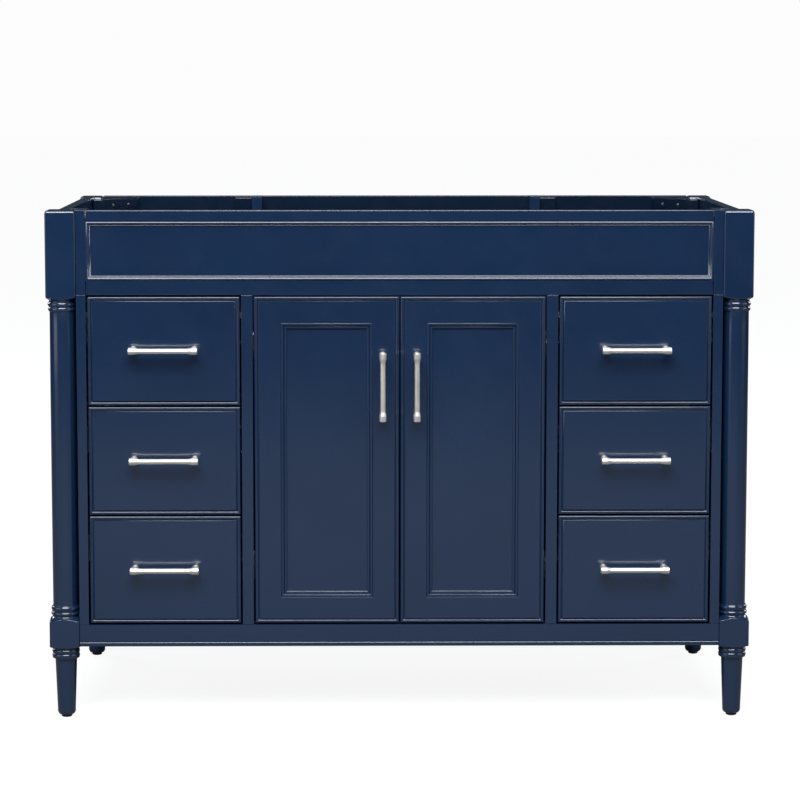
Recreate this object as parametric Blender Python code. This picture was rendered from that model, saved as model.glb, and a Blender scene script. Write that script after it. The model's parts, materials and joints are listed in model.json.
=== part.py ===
"""Freestanding bathroom vanity cabinet without a top: turned corner posts, six drawers, two doors.

Metres, +Z up, +X to the cabinet's right as one faces it, front towards -Y. The origin is on the
floor, under the middle of the whole cabinet's box, pulls included.
"""
import math

import bmesh
import bpy

# Overall sizes
WIDTH = 1.2192
DEPTH = 0.546
HEIGHT = 0.889

# Clearance between pieces that touch, and the reveal round every door and drawer front
FIT = 0.0003
REVEAL = 0.003

# Posts
POST = 0.052
POST_TOP_CHAMFER = 0.003
UPPER_BLOCK = 0.1545
LOWER_BLOCK_BOTTOM = 0.1237
LOWER_BLOCK_TOP = 0.1806
UPPER_POMMEL = 0.007
LOWER_POMMEL = 0.010
SHAFT_R = 0.0215
REAR_POST = 0.042
FOOT_TOP_R = 0.0190
FOOT_TAPER_END = 0.0185
FOOT_END_R = 0.0157
FOOT_SOLE_R = 0.0097
FOOT_ROUNDING = 0.0075
GLIDE_R = 0.0095
GLIDE_SOLE_R = 0.0062
GLIDE_ROUNDING = 0.0024
GLIDE_HEIGHT = 0.004

# Bead pairs turned beside the posts' blocks, going up the post. Each bead is its distance from the
# block's end, its half height, and how far its crest stays inside the block's face
FOOT_BEADS = ((0.0135, 0.0042, 0.0020), (0.0055, 0.0034, 0.0020))
LOWER_SHAFT_BEADS = ((0.0040, 0.0032, 0.0010), (0.0130, 0.0042, 0.0014))
UPPER_SHAFT_BEADS = ((0.0165, 0.0034, 0.0019), (0.0080, 0.0036, 0.0012))
BEAD_NECK = 0.0032

# How finely round shapes are cut
POST_SEGMENTS = 24
GLIDE_SEGMENTS = 16
PULL_SEGMENTS = 12
BEAD_STEPS = 4
ARC_STEPS = 3
SAME_LEVEL = 0.00005
SMOOTH_BELOW = math.radians(35)

# Case
SIDE_INSET = 0.020
BOARD = 0.018
BACK_THICKNESS = 0.012
BASE_HEIGHT = 0.1284
BOTTOM_RAIL = 0.0385
RAIL_BEAD = 0.008
APRON = 0.146
FRAME_SETBACK = 0.005
FRAME_THICKNESS = 0.019
STILE_WIDTH = 0.0163
STILE_RETURN = 0.075
PARTITION = 0.0192
DOOR_BAY = 0.508
UPRIGHT_DEPTH = 0.040
BRACE_HEIGHT = 0.025
BRACE_REACH = 0.067
BRACE_END = 0.018
BRACE_DROP = 0.004

# Fronts
FRONT_THICKNESS = 0.019
EDGE_BEAD = 0.005
EDGE_QUIRK = 0.0015
DOOR_STILE = 0.047
DOOR_MOULDING = 0.0085
MOULDING_COVE = 0.0025
MOULDING_OUTER_DEPTH = 0.002
MOULDING_INNER_DEPTH = 0.0035
PANEL_SUNK = 0.007
PANEL_THICKNESS = 0.006
PANEL_REBATE = 0.008
APRON_TOP_FLAT = 0.0185
APRON_BOTTOM_FLAT = 0.0245
APRON_SIDE_FLAT = 0.0015
APRON_BEAD = 0.0095
APRON_SUNK = 0.004

# Drawers
DRAWERS_PER_BANK = 3
SLIDE_SPACE = 0.0127
SLIDE_THICKNESS = 0.0045
SLIDE_HEIGHT = 0.045
SLIDE_ABOVE_BOX = 0.085
SLIDE_FLANGE = 0.020
SLIDE_FLANGE_THICKNESS = 0.002
BOX_REAR_SPACE = 0.058
BOX_ABOVE_FRONT = 0.020
BOX_BELOW_FRONT_TOP = 0.033
BOX_WALL = 0.012
BOX_FLOOR = 0.008

# Door hinges: the pivot line inside the door, and the arm on its mounting plate
PIVOT_FROM_EDGE = 0.020
PIVOT_FROM_FACE = 0.010
HINGE_FROM_END = 0.090
HINGE_CLEARANCE = 0.0035
HINGE_ARM_LENGTH = 0.059
HINGE_ARM_HEIGHT = 0.016
HINGE_WING_FRONT = 0.024
HINGE_WING_LENGTH = 0.018
HINGE_WING_HEIGHT = 0.048
HINGE_THICKNESS = 0.010

# Bar pulls
PULL_LENGTH = 0.120
PULL_PROJECTION = 0.036
PULL_SPACING = 0.105
PULL_BAR_R = 0.0048
PULL_END_R = 0.0063
PULL_FLARE = 0.011
PULL_END_STRAIGHT = 0.006
PULL_END_CHAMFER = 0.0008
PULL_POST_R = 0.0042
PULL_BASE_R = 0.0060
PULL_BASE_STRAIGHT = 0.0033
PULL_BASE_HEIGHT = 0.0055
DRAWER_PULL_RISE = 0.003
DOOR_PULL_FROM_EDGE = 0.028
DOOR_PULL_FROM_TOP = 0.154

# Places worked out from the sizes
BACK_Y = (DEPTH + PULL_PROJECTION - FRAME_SETBACK) / 2
FRONT_Y = BACK_Y - DEPTH
FRAME_Y = FRONT_Y + FRAME_SETBACK
FRAME_BACK_Y = FRAME_Y + FRAME_THICKNESS
INNER_BACK_Y = BACK_Y - BACK_THICKNESS
REAR_POST_Y = BACK_Y - REAR_POST
HALF = WIDTH / 2
POST_INNER_X = HALF - POST
SIDE_OUTER_X = HALF - SIDE_INSET
SIDE_INNER_X = SIDE_OUTER_X - BOARD
STILE_OUTER_X = POST_INNER_X - FIT
STILE_INNER_X = STILE_OUTER_X - STILE_WIDTH
BAY_X = DOOR_BAY / 2
DRAWER_BAY_X = BAY_X + PARTITION
RAIL_TOP = BASE_HEIGHT + BOTTOM_RAIL
OPENING_TOP = HEIGHT - APRON
OPENING_HEIGHT = OPENING_TOP - RAIL_TOP
FRONT_HEIGHT = (OPENING_HEIGHT - (DRAWERS_PER_BANK + 1) * REVEAL) / DRAWERS_PER_BANK
DOOR_SWING_R = math.hypot(PIVOT_FROM_EDGE, max(PIVOT_FROM_FACE, FRONT_THICKNESS - PIVOT_FROM_FACE))
HINGE_Y = FRAME_Y + PIVOT_FROM_FACE + DOOR_SWING_R + HINGE_CLEARANCE

SIDES = (("left", -1), ("right", 1))


def clear_scene():
    """Start from an empty scene."""
    for obj in list(bpy.data.objects):
        bpy.data.objects.remove(obj, do_unlink=True)


def make_material(name, colour, roughness, metallic=0.0):
    """A plain Principled finish."""
    material = bpy.data.materials.new(name)
    material.use_nodes = True
    shader = material.node_tree.nodes["Principled BSDF"]
    shader.inputs["Base Color"].default_value = (*colour, 1.0)
    shader.inputs["Roughness"].default_value = roughness
    shader.inputs["Metallic"].default_value = metallic
    return material


def make_empty(name, location):
    """The frame that a drawer's or a door's pieces hang from."""
    empty = bpy.data.objects.new(name, None)
    empty.location = location
    bpy.context.scene.collection.objects.link(empty)
    return empty


def add_object(name, mesh, material, parent=None, location=(0.0, 0.0, 0.0), turn_y=0.0):
    """Link a mesh into the scene, at a world place whether or not it has a parent."""
    obj = bpy.data.objects.new(name, mesh)
    if not mesh.materials:
        mesh.materials.append(material)
    obj.location = location
    if parent is not None:
        obj.parent = parent
        obj.location = [own - frame for own, frame in zip(location, parent.location)]
    obj.rotation_euler[1] = turn_y
    bpy.context.scene.collection.objects.link(obj)
    return obj


def finish_mesh(name, bm, round_angle=None):
    """Turn a bmesh into a mesh whose faces point out, shaded smooth where it is round."""
    bmesh.ops.recalc_face_normals(bm, faces=bm.faces)
    mesh = bpy.data.meshes.new(name)
    bm.to_mesh(mesh)
    bm.free()
    if round_angle is not None:
        mesh.shade_smooth()
        mesh.set_sharp_from_angle(angle=round_angle)
    return mesh


def mirrored(points, side):
    """Right-hand X values turned to the given side."""
    return [(side * x, *rest) for x, *rest in points]


def prism_mesh(name, outline, start, end, axis):
    """An outline carried straight along an axis. The outline gives the other two, in X, Y, Z order."""
    bm = bmesh.new()
    rings = []
    for level in (start, end):
        ring = []
        for point in outline:
            place = list(point)
            place.insert("XYZ".index(axis), level)
            ring.append(bm.verts.new(place))
        rings.append(ring)
    for ring in rings:
        bm.faces.new(ring)
    count = len(outline)
    for i in range(count):
        j = (i + 1) % count
        bm.faces.new((rings[0][i], rings[0][j], rings[1][j], rings[1][i]))
    return finish_mesh(name, bm)


def box_mesh(name, low, high):
    """A box between two corners, given in either order."""
    outline = [(low[0], low[1]), (high[0], low[1]), (high[0], high[1]), (low[0], high[1])]
    return prism_mesh(name, outline, low[2], high[2], "Z")


def rectangle_stack_mesh(name, loops, closed):
    """Rectangles (x0, x1, z0, z1, y) joined in order: capped at both ends, or closed into a frame."""
    bm = bmesh.new()
    rings = []
    for x0, x1, z0, z1, y in loops:
        corners = ((x0, z0), (x1, z0), (x1, z1), (x0, z1))
        rings.append([bm.verts.new((x, y, z)) for x, z in corners])
    pairs = list(zip(rings, rings[1:]))
    if closed:
        pairs.append((rings[-1], rings[0]))
    else:
        bm.faces.new(rings[0])
        bm.faces.new(rings[-1])
    for near, far in pairs:
        for i in range(4):
            j = (i + 1) % 4
            bm.faces.new((near[i], near[j], far[j], far[i]))
    return finish_mesh(name, bm)


def inset_loops(x0, x1, z0, z1, face_y, profile):
    """The rectangle drawn in by each profile point's inset, at its depth behind the face."""
    return [(x0 + d, x1 - d, z0 + d, z1 - d, face_y + y) for d, y in profile]


def turned_mesh(name, levels, centre, segments):
    """Rings up a vertical axis. A level is (z, radius, half_width): the smaller limit holds."""
    bm = bmesh.new()
    rings = []
    for z, radius, half_width in levels:
        ring = []
        for i in range(segments):
            angle = 2 * math.pi * i / segments
            c, s = math.cos(angle), math.sin(angle)
            reach = min(radius, half_width / max(abs(c), abs(s)))
            ring.append(bm.verts.new((centre[0] + reach * c, centre[1] + reach * s, z)))
        rings.append(ring)
    bm.faces.new(rings[0])
    bm.faces.new(rings[-1])
    for low, high in zip(rings, rings[1:]):
        for i in range(segments):
            j = (i + 1) % segments
            bm.faces.new((low[i], low[j], high[j], high[i]))
    return finish_mesh(name, bm, SMOOTH_BELOW)


def bead_levels(middle, half_height, crest_r, root_r, half_width):
    """One turned bead: root, crest and root again on a half round."""
    levels = []
    for step in range(BEAD_STEPS + 1):
        angle = math.pi * step / BEAD_STEPS
        z = middle - half_height * math.cos(angle)
        radius = root_r + (crest_r - root_r) * math.sin(angle)
        levels.append((z, radius, half_width))
    return levels


def bead_pair_levels(block_z, way, beads, half_width):
    """The beads beyond a block's end, above it where way is 1 and below it where way is -1."""
    levels = []
    for distance, half_height, inside in beads:
        middle = block_z + way * distance
        crest_r = half_width - inside
        levels += bead_levels(middle, half_height, crest_r, half_width - BEAD_NECK, half_width)
    return levels


def pommel_levels(flat_z, end_z, half_width):
    """The square's corners rounded away towards the turned neck beyond its end."""
    corner_r = half_width * math.sqrt(2)
    neck_r = half_width - BEAD_NECK
    levels = []
    for step in range(ARC_STEPS + 1):
        angle = math.pi / 2 * step / ARC_STEPS
        z = flat_z + (end_z - flat_z) * math.sin(angle)
        radius = neck_r + (corner_r - neck_r) * math.cos(angle)
        levels.append((z, radius, half_width))
    return levels


def rounded_end_levels(z0, height, sole_r, radius, half_width):
    """A turned end, rounded up from its flat sole to its full radius on a quarter round."""
    levels = []
    for step in range(ARC_STEPS + 1):
        angle = math.pi / 2 * step / ARC_STEPS
        z = z0 + height * (1 - math.cos(angle))
        reach = sole_r + (radius - sole_r) * math.sin(angle)
        levels.append((z, reach, half_width))
    return levels


def foot_levels(half_width):
    """Rounded end, tapered foot, bead pair and the start of the lower block, going up."""
    block = LOWER_BLOCK_BOTTOM
    levels = rounded_end_levels(GLIDE_HEIGHT + FIT, FOOT_ROUNDING, FOOT_SOLE_R, FOOT_END_R, half_width)
    levels.append((block - FOOT_TAPER_END, FOOT_TOP_R, half_width))
    levels += bead_pair_levels(block, -1, FOOT_BEADS, half_width)
    levels += reversed(pommel_levels(block + LOWER_POMMEL, block, half_width))
    return drop_repeats(levels)


def drop_repeats(levels):
    """Leave out a level that stands at the height of the one below it."""
    kept = []
    for level in levels:
        if not kept or level[0] - kept[-1][0] > SAME_LEVEL:
            kept.append(level)
    return kept


def front_post_levels():
    """The whole front post, floor to top."""
    half = POST / 2
    upper_bottom = HEIGHT - UPPER_BLOCK
    lower_beads_end = LOWER_BLOCK_TOP + sum(LOWER_SHAFT_BEADS[-1][:2])
    upper_beads_start = upper_bottom - sum(UPPER_SHAFT_BEADS[0][:2])
    levels = foot_levels(half)
    levels += pommel_levels(LOWER_BLOCK_TOP - LOWER_POMMEL, LOWER_BLOCK_TOP, half)
    levels += bead_pair_levels(LOWER_BLOCK_TOP, 1, LOWER_SHAFT_BEADS, half)
    levels.append((lower_beads_end + FIT, SHAFT_R, half))
    levels.append((upper_beads_start - FIT, SHAFT_R, half))
    levels += bead_pair_levels(upper_bottom, -1, UPPER_SHAFT_BEADS, half)
    levels += reversed(pommel_levels(upper_bottom + UPPER_POMMEL, upper_bottom, half))
    levels.append((HEIGHT - POST_TOP_CHAMFER, POST, half))
    levels.append((HEIGHT, POST, half - POST_TOP_CHAMFER))
    return drop_repeats(levels)


def rear_post_levels():
    """The rear post: the same foot under a plain square post."""
    half = REAR_POST / 2
    levels = foot_levels(half)
    levels.append((HEIGHT - POST_TOP_CHAMFER, REAR_POST, half))
    levels.append((HEIGHT, REAR_POST, half - POST_TOP_CHAMFER))
    return drop_repeats(levels)


def build_posts(paint, nylon):
    """Four posts and the glide under each."""
    front = (HALF - POST / 2, FRONT_Y + POST / 2, front_post_levels())
    rear = (POST_INNER_X + REAR_POST / 2, BACK_Y - REAR_POST / 2, rear_post_levels())
    for side_name, side in SIDES:
        for end_name, (x, y, levels) in (("front", front), ("rear", rear)):
            name = f"{end_name}_post_{side_name}"
            mesh = turned_mesh(name, levels, (side * x, y), POST_SEGMENTS)
            add_object(name, mesh, paint)
            build_glide(f"glide_{end_name}_{side_name}", (side * x, y), nylon)


def build_glide(name, centre, nylon):
    """A domed nylon glide under a foot."""
    levels = rounded_end_levels(0.0, GLIDE_ROUNDING, GLIDE_SOLE_R, GLIDE_R, GLIDE_R)
    levels.append((GLIDE_HEIGHT, GLIDE_R, GLIDE_R))
    add_object(name, turned_mesh(name, levels, centre, GLIDE_SEGMENTS), nylon)


def build_stiles(paint):
    """Face-frame stiles, returned behind the posts to close the corners."""
    back = FRAME_Y + STILE_RETURN
    post_back = FRONT_Y + POST + FIT
    outline = [
        (STILE_OUTER_X, FRAME_Y),
        (STILE_INNER_X, FRAME_Y),
        (STILE_INNER_X, back),
        (SIDE_INNER_X - FIT, back),
        (SIDE_INNER_X - FIT, post_back),
        (STILE_OUTER_X, post_back),
    ]
    for side_name, side in SIDES:
        name = f"face_stile_{side_name}"
        mesh = prism_mesh(name, mirrored(outline, side), BASE_HEIGHT, HEIGHT, "Z")
        add_object(name, mesh, paint)


def bead_profile(width, outer_depth, inner_depth):
    """A moulded bead as (inset, depth): from its outer depth up to the face, and down to its inner depth."""
    profile = []
    for step in range(BEAD_STEPS + 1):
        share = step / BEAD_STEPS
        depth = outer_depth if share < 0.5 else inner_depth
        profile.append((width * share, depth * (1 - math.sin(math.pi * share))))
    return profile


def build_apron(paint):
    """The false front under the open top: a board with a bead frame round a sunk field."""
    x1 = STILE_INNER_X - FIT
    flat_y = FRAME_Y + EDGE_QUIRK
    bead_x = x1 - APRON_SIDE_FLAT
    bead_z0 = OPENING_TOP + APRON_BOTTOM_FLAT
    bead_z1 = HEIGHT - APRON_TOP_FLAT
    loops = [
        (-x1, x1, OPENING_TOP, HEIGHT, FRAME_BACK_Y),
        (-x1, x1, OPENING_TOP, HEIGHT, flat_y),
    ]
    profile = bead_profile(APRON_BEAD, EDGE_QUIRK, APRON_SUNK)
    loops += inset_loops(-bead_x, bead_x, bead_z0, bead_z1, FRAME_Y, profile)
    add_object("apron_board", rectangle_stack_mesh("apron_board", loops, False), paint)


def build_bottom_rail(paint):
    """The rail under the drawers and doors, with a small bead along its lower edge."""
    outline = [
        (FRAME_BACK_Y, BASE_HEIGHT),
        (FRAME_BACK_Y, RAIL_TOP),
        (FRAME_Y, RAIL_TOP),
        (FRAME_Y, BASE_HEIGHT + RAIL_BEAD + EDGE_QUIRK),
    ]
    for inset, depth in reversed(bead_profile(RAIL_BEAD, EDGE_QUIRK, EDGE_QUIRK)):
        outline.append((FRAME_Y + depth, BASE_HEIGHT + inset))
    x1 = STILE_INNER_X - FIT
    add_object("bottom_rail", prism_mesh("bottom_rail", outline, -x1, x1, "X"), paint)


def build_case(paint):
    """Side panels, bottom deck, partitions and the back panel."""
    for side_name, side in SIDES:
        name = f"side_panel_{side_name}"
        low = (side * SIDE_INNER_X, FRONT_Y + POST + FIT, BASE_HEIGHT)
        high = (side * SIDE_OUTER_X, REAR_POST_Y - FIT, HEIGHT)
        add_object(name, box_mesh(name, low, high), paint)
        build_partition(side_name, side, paint)
    build_deck(paint)
    build_back(paint)


def build_deck(paint):
    """The bottom deck, notched round the stiles' returns and the rear posts."""
    half = [
        (STILE_INNER_X - FIT, FRAME_BACK_Y + FIT),
        (STILE_INNER_X - FIT, FRAME_Y + STILE_RETURN + FIT),
        (SIDE_INNER_X - FIT, FRAME_Y + STILE_RETURN + FIT),
        (SIDE_INNER_X - FIT, REAR_POST_Y - FIT),
        (POST_INNER_X - FIT, REAR_POST_Y - FIT),
        (POST_INNER_X - FIT, INNER_BACK_Y - FIT),
    ]
    outline = half + mirrored(reversed(half), -1)
    mesh = prism_mesh("bottom_deck", outline, RAIL_TOP - BOARD, RAIL_TOP, "Z")
    add_object("bottom_deck", mesh, paint)


def build_partition(side_name, side, paint):
    """A partition: its front edge is the mullion, and its rear upright reaches the open top."""
    name = f"partition_{side_name}"
    rear = INNER_BACK_Y - FIT
    bottom = RAIL_TOP + FIT
    shoulder = OPENING_TOP - FIT
    outline = [
        (FRAME_Y, bottom),
        (rear, bottom),
        (rear, HEIGHT),
        (rear - UPRIGHT_DEPTH, HEIGHT),
        (rear - UPRIGHT_DEPTH, shoulder),
        (FRAME_Y, shoulder),
    ]
    add_object(name, prism_mesh(name, outline, side * BAY_X, side * DRAWER_BAY_X, "X"), paint)


def build_back(paint):
    """The back panel, one plain board between the rear posts."""
    x1 = POST_INNER_X - FIT
    low = (-x1, INNER_BACK_Y, BASE_HEIGHT)
    high = (x1, BACK_Y, HEIGHT)
    add_object("back_panel", box_mesh("back_panel", low, high), paint)


def build_braces(paint):
    """Blocks across the rear corners, just under the top."""
    top = HEIGHT - BRACE_DROP
    post_front = REAR_POST_Y - FIT
    back = INNER_BACK_Y - FIT
    inner_x = POST_INNER_X - FIT
    side_x = SIDE_INNER_X - FIT
    outline = [
        (side_x, post_front),
        (side_x, post_front - BRACE_REACH + BRACE_END),
        (side_x - BRACE_END, post_front - BRACE_REACH + BRACE_END),
        (inner_x - BRACE_REACH, back - BRACE_END),
        (inner_x - BRACE_REACH, back),
        (inner_x, back),
        (inner_x, post_front),
    ]
    for side_name, side in SIDES:
        name = f"corner_brace_{side_name}"
        mesh = prism_mesh(name, mirrored(outline, side), top - BRACE_HEIGHT, top, "Z")
        add_object(name, mesh, paint)


def edged_front_profile():
    """Half a cut through a front's edge, from its back to its field: bead, quirk and field."""
    bead = bead_profile(EDGE_BEAD, EDGE_QUIRK, EDGE_QUIRK)
    return [(0.0, FRONT_THICKNESS), *bead, (EDGE_BEAD + EDGE_QUIRK, 0.0)]


def pull_bar_mesh():
    """The bar along X, flared to a short straight end on each side."""
    half = PULL_LENGTH / 2
    flare_end = half - PULL_END_STRAIGHT
    middle_r = (PULL_BAR_R + PULL_END_R) / 2
    right = [
        (flare_end - PULL_FLARE, PULL_BAR_R),
        (flare_end - PULL_FLARE / 2, middle_r),
        (flare_end, PULL_END_R),
        (half - PULL_END_CHAMFER, PULL_END_R),
        (half, PULL_END_R - PULL_END_CHAMFER),
    ]
    levels = [(-x, radius, PULL_LENGTH) for x, radius in reversed(right)]
    levels += [(x, radius, PULL_LENGTH) for x, radius in right]
    mesh = turned_mesh("pull_bar", levels, (0.0, 0.0), PULL_SEGMENTS)
    for vertex in mesh.vertices:
        x, y, z = vertex.co
        vertex.co = (z, y - PULL_PROJECTION + PULL_END_R, -x)
    return mesh


def pull_post_mesh(x):
    """A post with its base, from just off the front to the middle of the bar."""
    levels = [
        (FIT, PULL_BASE_R, PULL_BASE_R),
        (PULL_BASE_STRAIGHT, PULL_BASE_R, PULL_BASE_R),
        (PULL_BASE_HEIGHT, PULL_POST_R, PULL_BASE_R),
        (PULL_PROJECTION - PULL_END_R, PULL_POST_R, PULL_BASE_R),
    ]
    mesh = turned_mesh("pull_post", levels, (x, 0.0), PULL_SEGMENTS)
    for vertex in mesh.vertices:
        x, y, z = vertex.co
        vertex.co = (x, -z, y)
    return mesh


def pull_mesh():
    """The whole pull as one body: bar and posts joined by a union."""
    bar = bpy.data.objects.new("pull_bar", pull_bar_mesh())
    bpy.context.scene.collection.objects.link(bar)
    posts = []
    for x in (-PULL_SPACING / 2, PULL_SPACING / 2):
        post = bpy.data.objects.new("pull_post", pull_post_mesh(x))
        bpy.context.scene.collection.objects.link(post)
        union = bar.modifiers.new("union", "BOOLEAN")
        union.operation = "UNION"
        union.object = post
        posts.append(post)
    depsgraph = bpy.context.evaluated_depsgraph_get()
    mesh = bpy.data.meshes.new_from_object(bar.evaluated_get(depsgraph))
    mesh.name = "pull"
    mesh.materials.clear()
    for obj in (bar, *posts):
        bpy.data.objects.remove(obj, do_unlink=True)
    mesh.shade_smooth()
    mesh.set_sharp_from_angle(angle=SMOOTH_BELOW)
    return mesh


def slide_mesh(name, side, cabinet_x, inward, z0):
    """A slide's cabinet member, with the flange that fixes its rear end to the back panel."""
    x0 = cabinet_x + inward * FIT
    x1 = cabinet_x + inward * SLIDE_THICKNESS
    x2 = cabinet_x + inward * SLIDE_FLANGE
    y0 = FRAME_Y + FRONT_THICKNESS + REVEAL
    y1 = INNER_BACK_Y - FIT
    outline = [
        (x0, y0),
        (x1, y0),
        (x1, y1 - SLIDE_FLANGE_THICKNESS),
        (x2, y1 - SLIDE_FLANGE_THICKNESS),
        (x2, y1),
        (x0, y1),
    ]
    return prism_mesh(name, mirrored(outline, side), z0, z0 + SLIDE_HEIGHT, "Z")


def box_shell_mesh(name, low, high):
    """An open drawer box: four walls and a floor."""
    x0, y0, z0 = low
    x1, y1, z1 = high
    wall = BOX_WALL
    bm = bmesh.new()
    rings = []
    for inset, z in ((0.0, z0), (0.0, z1), (wall, z1), (wall, z0 + BOX_FLOOR)):
        corners = ((x0 + inset, y0 + inset), (x1 - inset, y0 + inset),
                   (x1 - inset, y1 - inset), (x0 + inset, y1 - inset))
        rings.append([bm.verts.new((x, y, z)) for x, y in corners])
    bm.faces.new(rings[0])
    bm.faces.new(rings[-1])
    for near, far in zip(rings, rings[1:]):
        for i in range(4):
            j = (i + 1) % 4
            bm.faces.new((near[i], near[j], far[j], far[i]))
    return finish_mesh(name, bm)


def build_drawer(side_name, side, row, pull, finishes):
    """One drawer: front, box and pull on a sliding frame, and its pair of slides on the case."""
    label = f"{side_name}_{row + 1}"
    x_in = DRAWER_BAY_X + REVEAL
    x_out = STILE_INNER_X - REVEAL
    x0, x1 = sorted((side * x_in, side * x_out))
    z0 = OPENING_TOP - (row + 1) * (FRONT_HEIGHT + REVEAL)
    z1 = z0 + FRONT_HEIGHT
    middle = ((x0 + x1) / 2, FRAME_Y, (z0 + z1) / 2)
    frame = make_empty(f"drawer_{label}", middle)
    loops = inset_loops(x0, x1, z0, z1, FRAME_Y, edged_front_profile())
    front = rectangle_stack_mesh(f"drawer_front_{label}", loops, False)
    add_moved(f"drawer_front_{label}", front, finishes["paint"], frame)

    box_in = DRAWER_BAY_X + SLIDE_SPACE
    box_out = STILE_INNER_X - SLIDE_SPACE
    box_x0, box_x1 = sorted((side * box_in, side * box_out))
    box_z0 = z0 + BOX_ABOVE_FRONT
    low = (box_x0, FRAME_Y + FRONT_THICKNESS + FIT, box_z0)
    high = (box_x1, INNER_BACK_Y - BOX_REAR_SPACE, z1 - BOX_BELOW_FRONT_TOP)
    box = box_shell_mesh(f"drawer_box_{label}", low, high)
    add_moved(f"drawer_box_{label}", box, finishes["birch"], frame)

    place = (middle[0], FRAME_Y, middle[2] + DRAWER_PULL_RISE)
    add_object(f"drawer_pull_{label}", pull, finishes["nickel"], frame, place)

    slide_z0 = box_z0 + SLIDE_ABOVE_BOX
    for end_name, cabinet_x, inward in (("inner", DRAWER_BAY_X, 1), ("outer", STILE_INNER_X, -1)):
        name = f"drawer_slide_{label}_{end_name}"
        add_object(name, slide_mesh(name, side, cabinet_x, inward, slide_z0), finishes["steel"])


def add_moved(name, mesh, material, frame):
    """Add a mesh drawn in world places to a moving frame, with its origin on that frame."""
    for vertex in mesh.vertices:
        vertex.co = vertex.co - frame.location
    return add_object(name, mesh, material, frame, frame.location)


def build_door(side_name, side, pull, finishes):
    """One door: frame, sunk panel and pull on its pivot line, and two hinges on the partition."""
    x_in = REVEAL / 2
    x_out = BAY_X - REVEAL
    x0, x1 = sorted((side * x_in, side * x_out))
    z0 = RAIL_TOP + REVEAL
    z1 = OPENING_TOP - REVEAL
    pivot = (side * (x_out - PIVOT_FROM_EDGE), FRAME_Y + PIVOT_FROM_FACE, (z0 + z1) / 2)
    frame = make_empty(f"door_{side_name}", pivot)

    opening = DOOR_STILE + DOOR_MOULDING
    rebate = opening - PANEL_REBATE
    profile = edged_front_profile() + [
        (DOOR_STILE, 0.0),
        (DOOR_STILE + MOULDING_COVE, MOULDING_OUTER_DEPTH),
        (opening - MOULDING_COVE, MOULDING_INNER_DEPTH),
        (opening, PANEL_SUNK - FIT),
        (rebate, PANEL_SUNK - FIT),
        (rebate, FRONT_THICKNESS),
    ]
    loops = inset_loops(x0, x1, z0, z1, FRAME_Y, profile)
    mesh = rectangle_stack_mesh(f"door_frame_{side_name}", loops, True)
    add_moved(f"door_frame_{side_name}", mesh, finishes["paint"], frame)

    inset = rebate + FIT
    y0 = FRAME_Y + PANEL_SUNK
    low = (x0 + inset, y0, z0 + inset)
    high = (x1 - inset, y0 + PANEL_THICKNESS, z1 - inset)
    mesh = box_mesh(f"door_panel_{side_name}", low, high)
    add_moved(f"door_panel_{side_name}", mesh, finishes["paint"], frame)

    place = (side * (x_in + DOOR_PULL_FROM_EDGE), FRAME_Y, z1 - DOOR_PULL_FROM_TOP)
    add_object(f"door_pull_{side_name}", pull, finishes["nickel"], frame, place, math.pi / 2)

    for end_name, z in (("lower", z0 + HINGE_FROM_END), ("upper", z1 - HINGE_FROM_END)):
        name = f"door_hinge_{side_name}_{end_name}"
        add_object(name, hinge_mesh(name, side, z), finishes["steel"])


def hinge_mesh(name, side, z):
    """A concealed hinge's arm and its winged mounting plate, on the partition."""
    y0 = HINGE_Y
    y1 = y0 + HINGE_ARM_LENGTH
    wing0 = y0 + HINGE_WING_FRONT
    wing1 = wing0 + HINGE_WING_LENGTH
    arm = HINGE_ARM_HEIGHT / 2
    wing = HINGE_WING_HEIGHT / 2
    outline = [
        (y0, z - arm), (wing0, z - arm), (wing0, z - wing), (wing1, z - wing),
        (wing1, z - arm), (y1, z - arm), (y1, z + arm), (wing1, z + arm),
        (wing1, z + wing), (wing0, z + wing), (wing0, z + arm), (y0, z + arm),
    ]
    x0 = side * (BAY_X - FIT)
    x1 = side * (BAY_X - HINGE_THICKNESS)
    return prism_mesh(name, outline, x0, x1, "X")


def build():
    """The whole cabinet."""
    clear_scene()
    finishes = {
        "paint": make_material("navy_paint", (0.018, 0.036, 0.080), 0.35),
        "birch": make_material("drawer_birch", (0.62, 0.47, 0.30), 0.5),
        "nickel": make_material("brushed_nickel", (0.72, 0.69, 0.64), 0.28, 1.0),
        "steel": make_material("zinc_steel", (0.60, 0.61, 0.62), 0.35, 1.0),
        "nylon": make_material("glide_nylon", (0.03, 0.03, 0.03), 0.5),
    }
    paint = finishes["paint"]
    build_posts(paint, finishes["nylon"])
    build_stiles(paint)
    build_apron(paint)
    build_bottom_rail(paint)
    build_case(paint)
    build_braces(paint)
    pull = pull_mesh()
    for side_name, side in SIDES:
        for row in range(DRAWERS_PER_BANK):
            build_drawer(side_name, side, row, pull, finishes)
        build_door(side_name, side, pull, finishes)


build()
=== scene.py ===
"""Bathroom vanity cabinet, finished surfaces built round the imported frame.

Metres, +Z up, +X to the right, front towards -Y. The sections follow the cabinet as it goes
together: studio, posts, case, rails and apron, slides, drawers, doors, hinges and pulls.
"""
import json
import math

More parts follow.
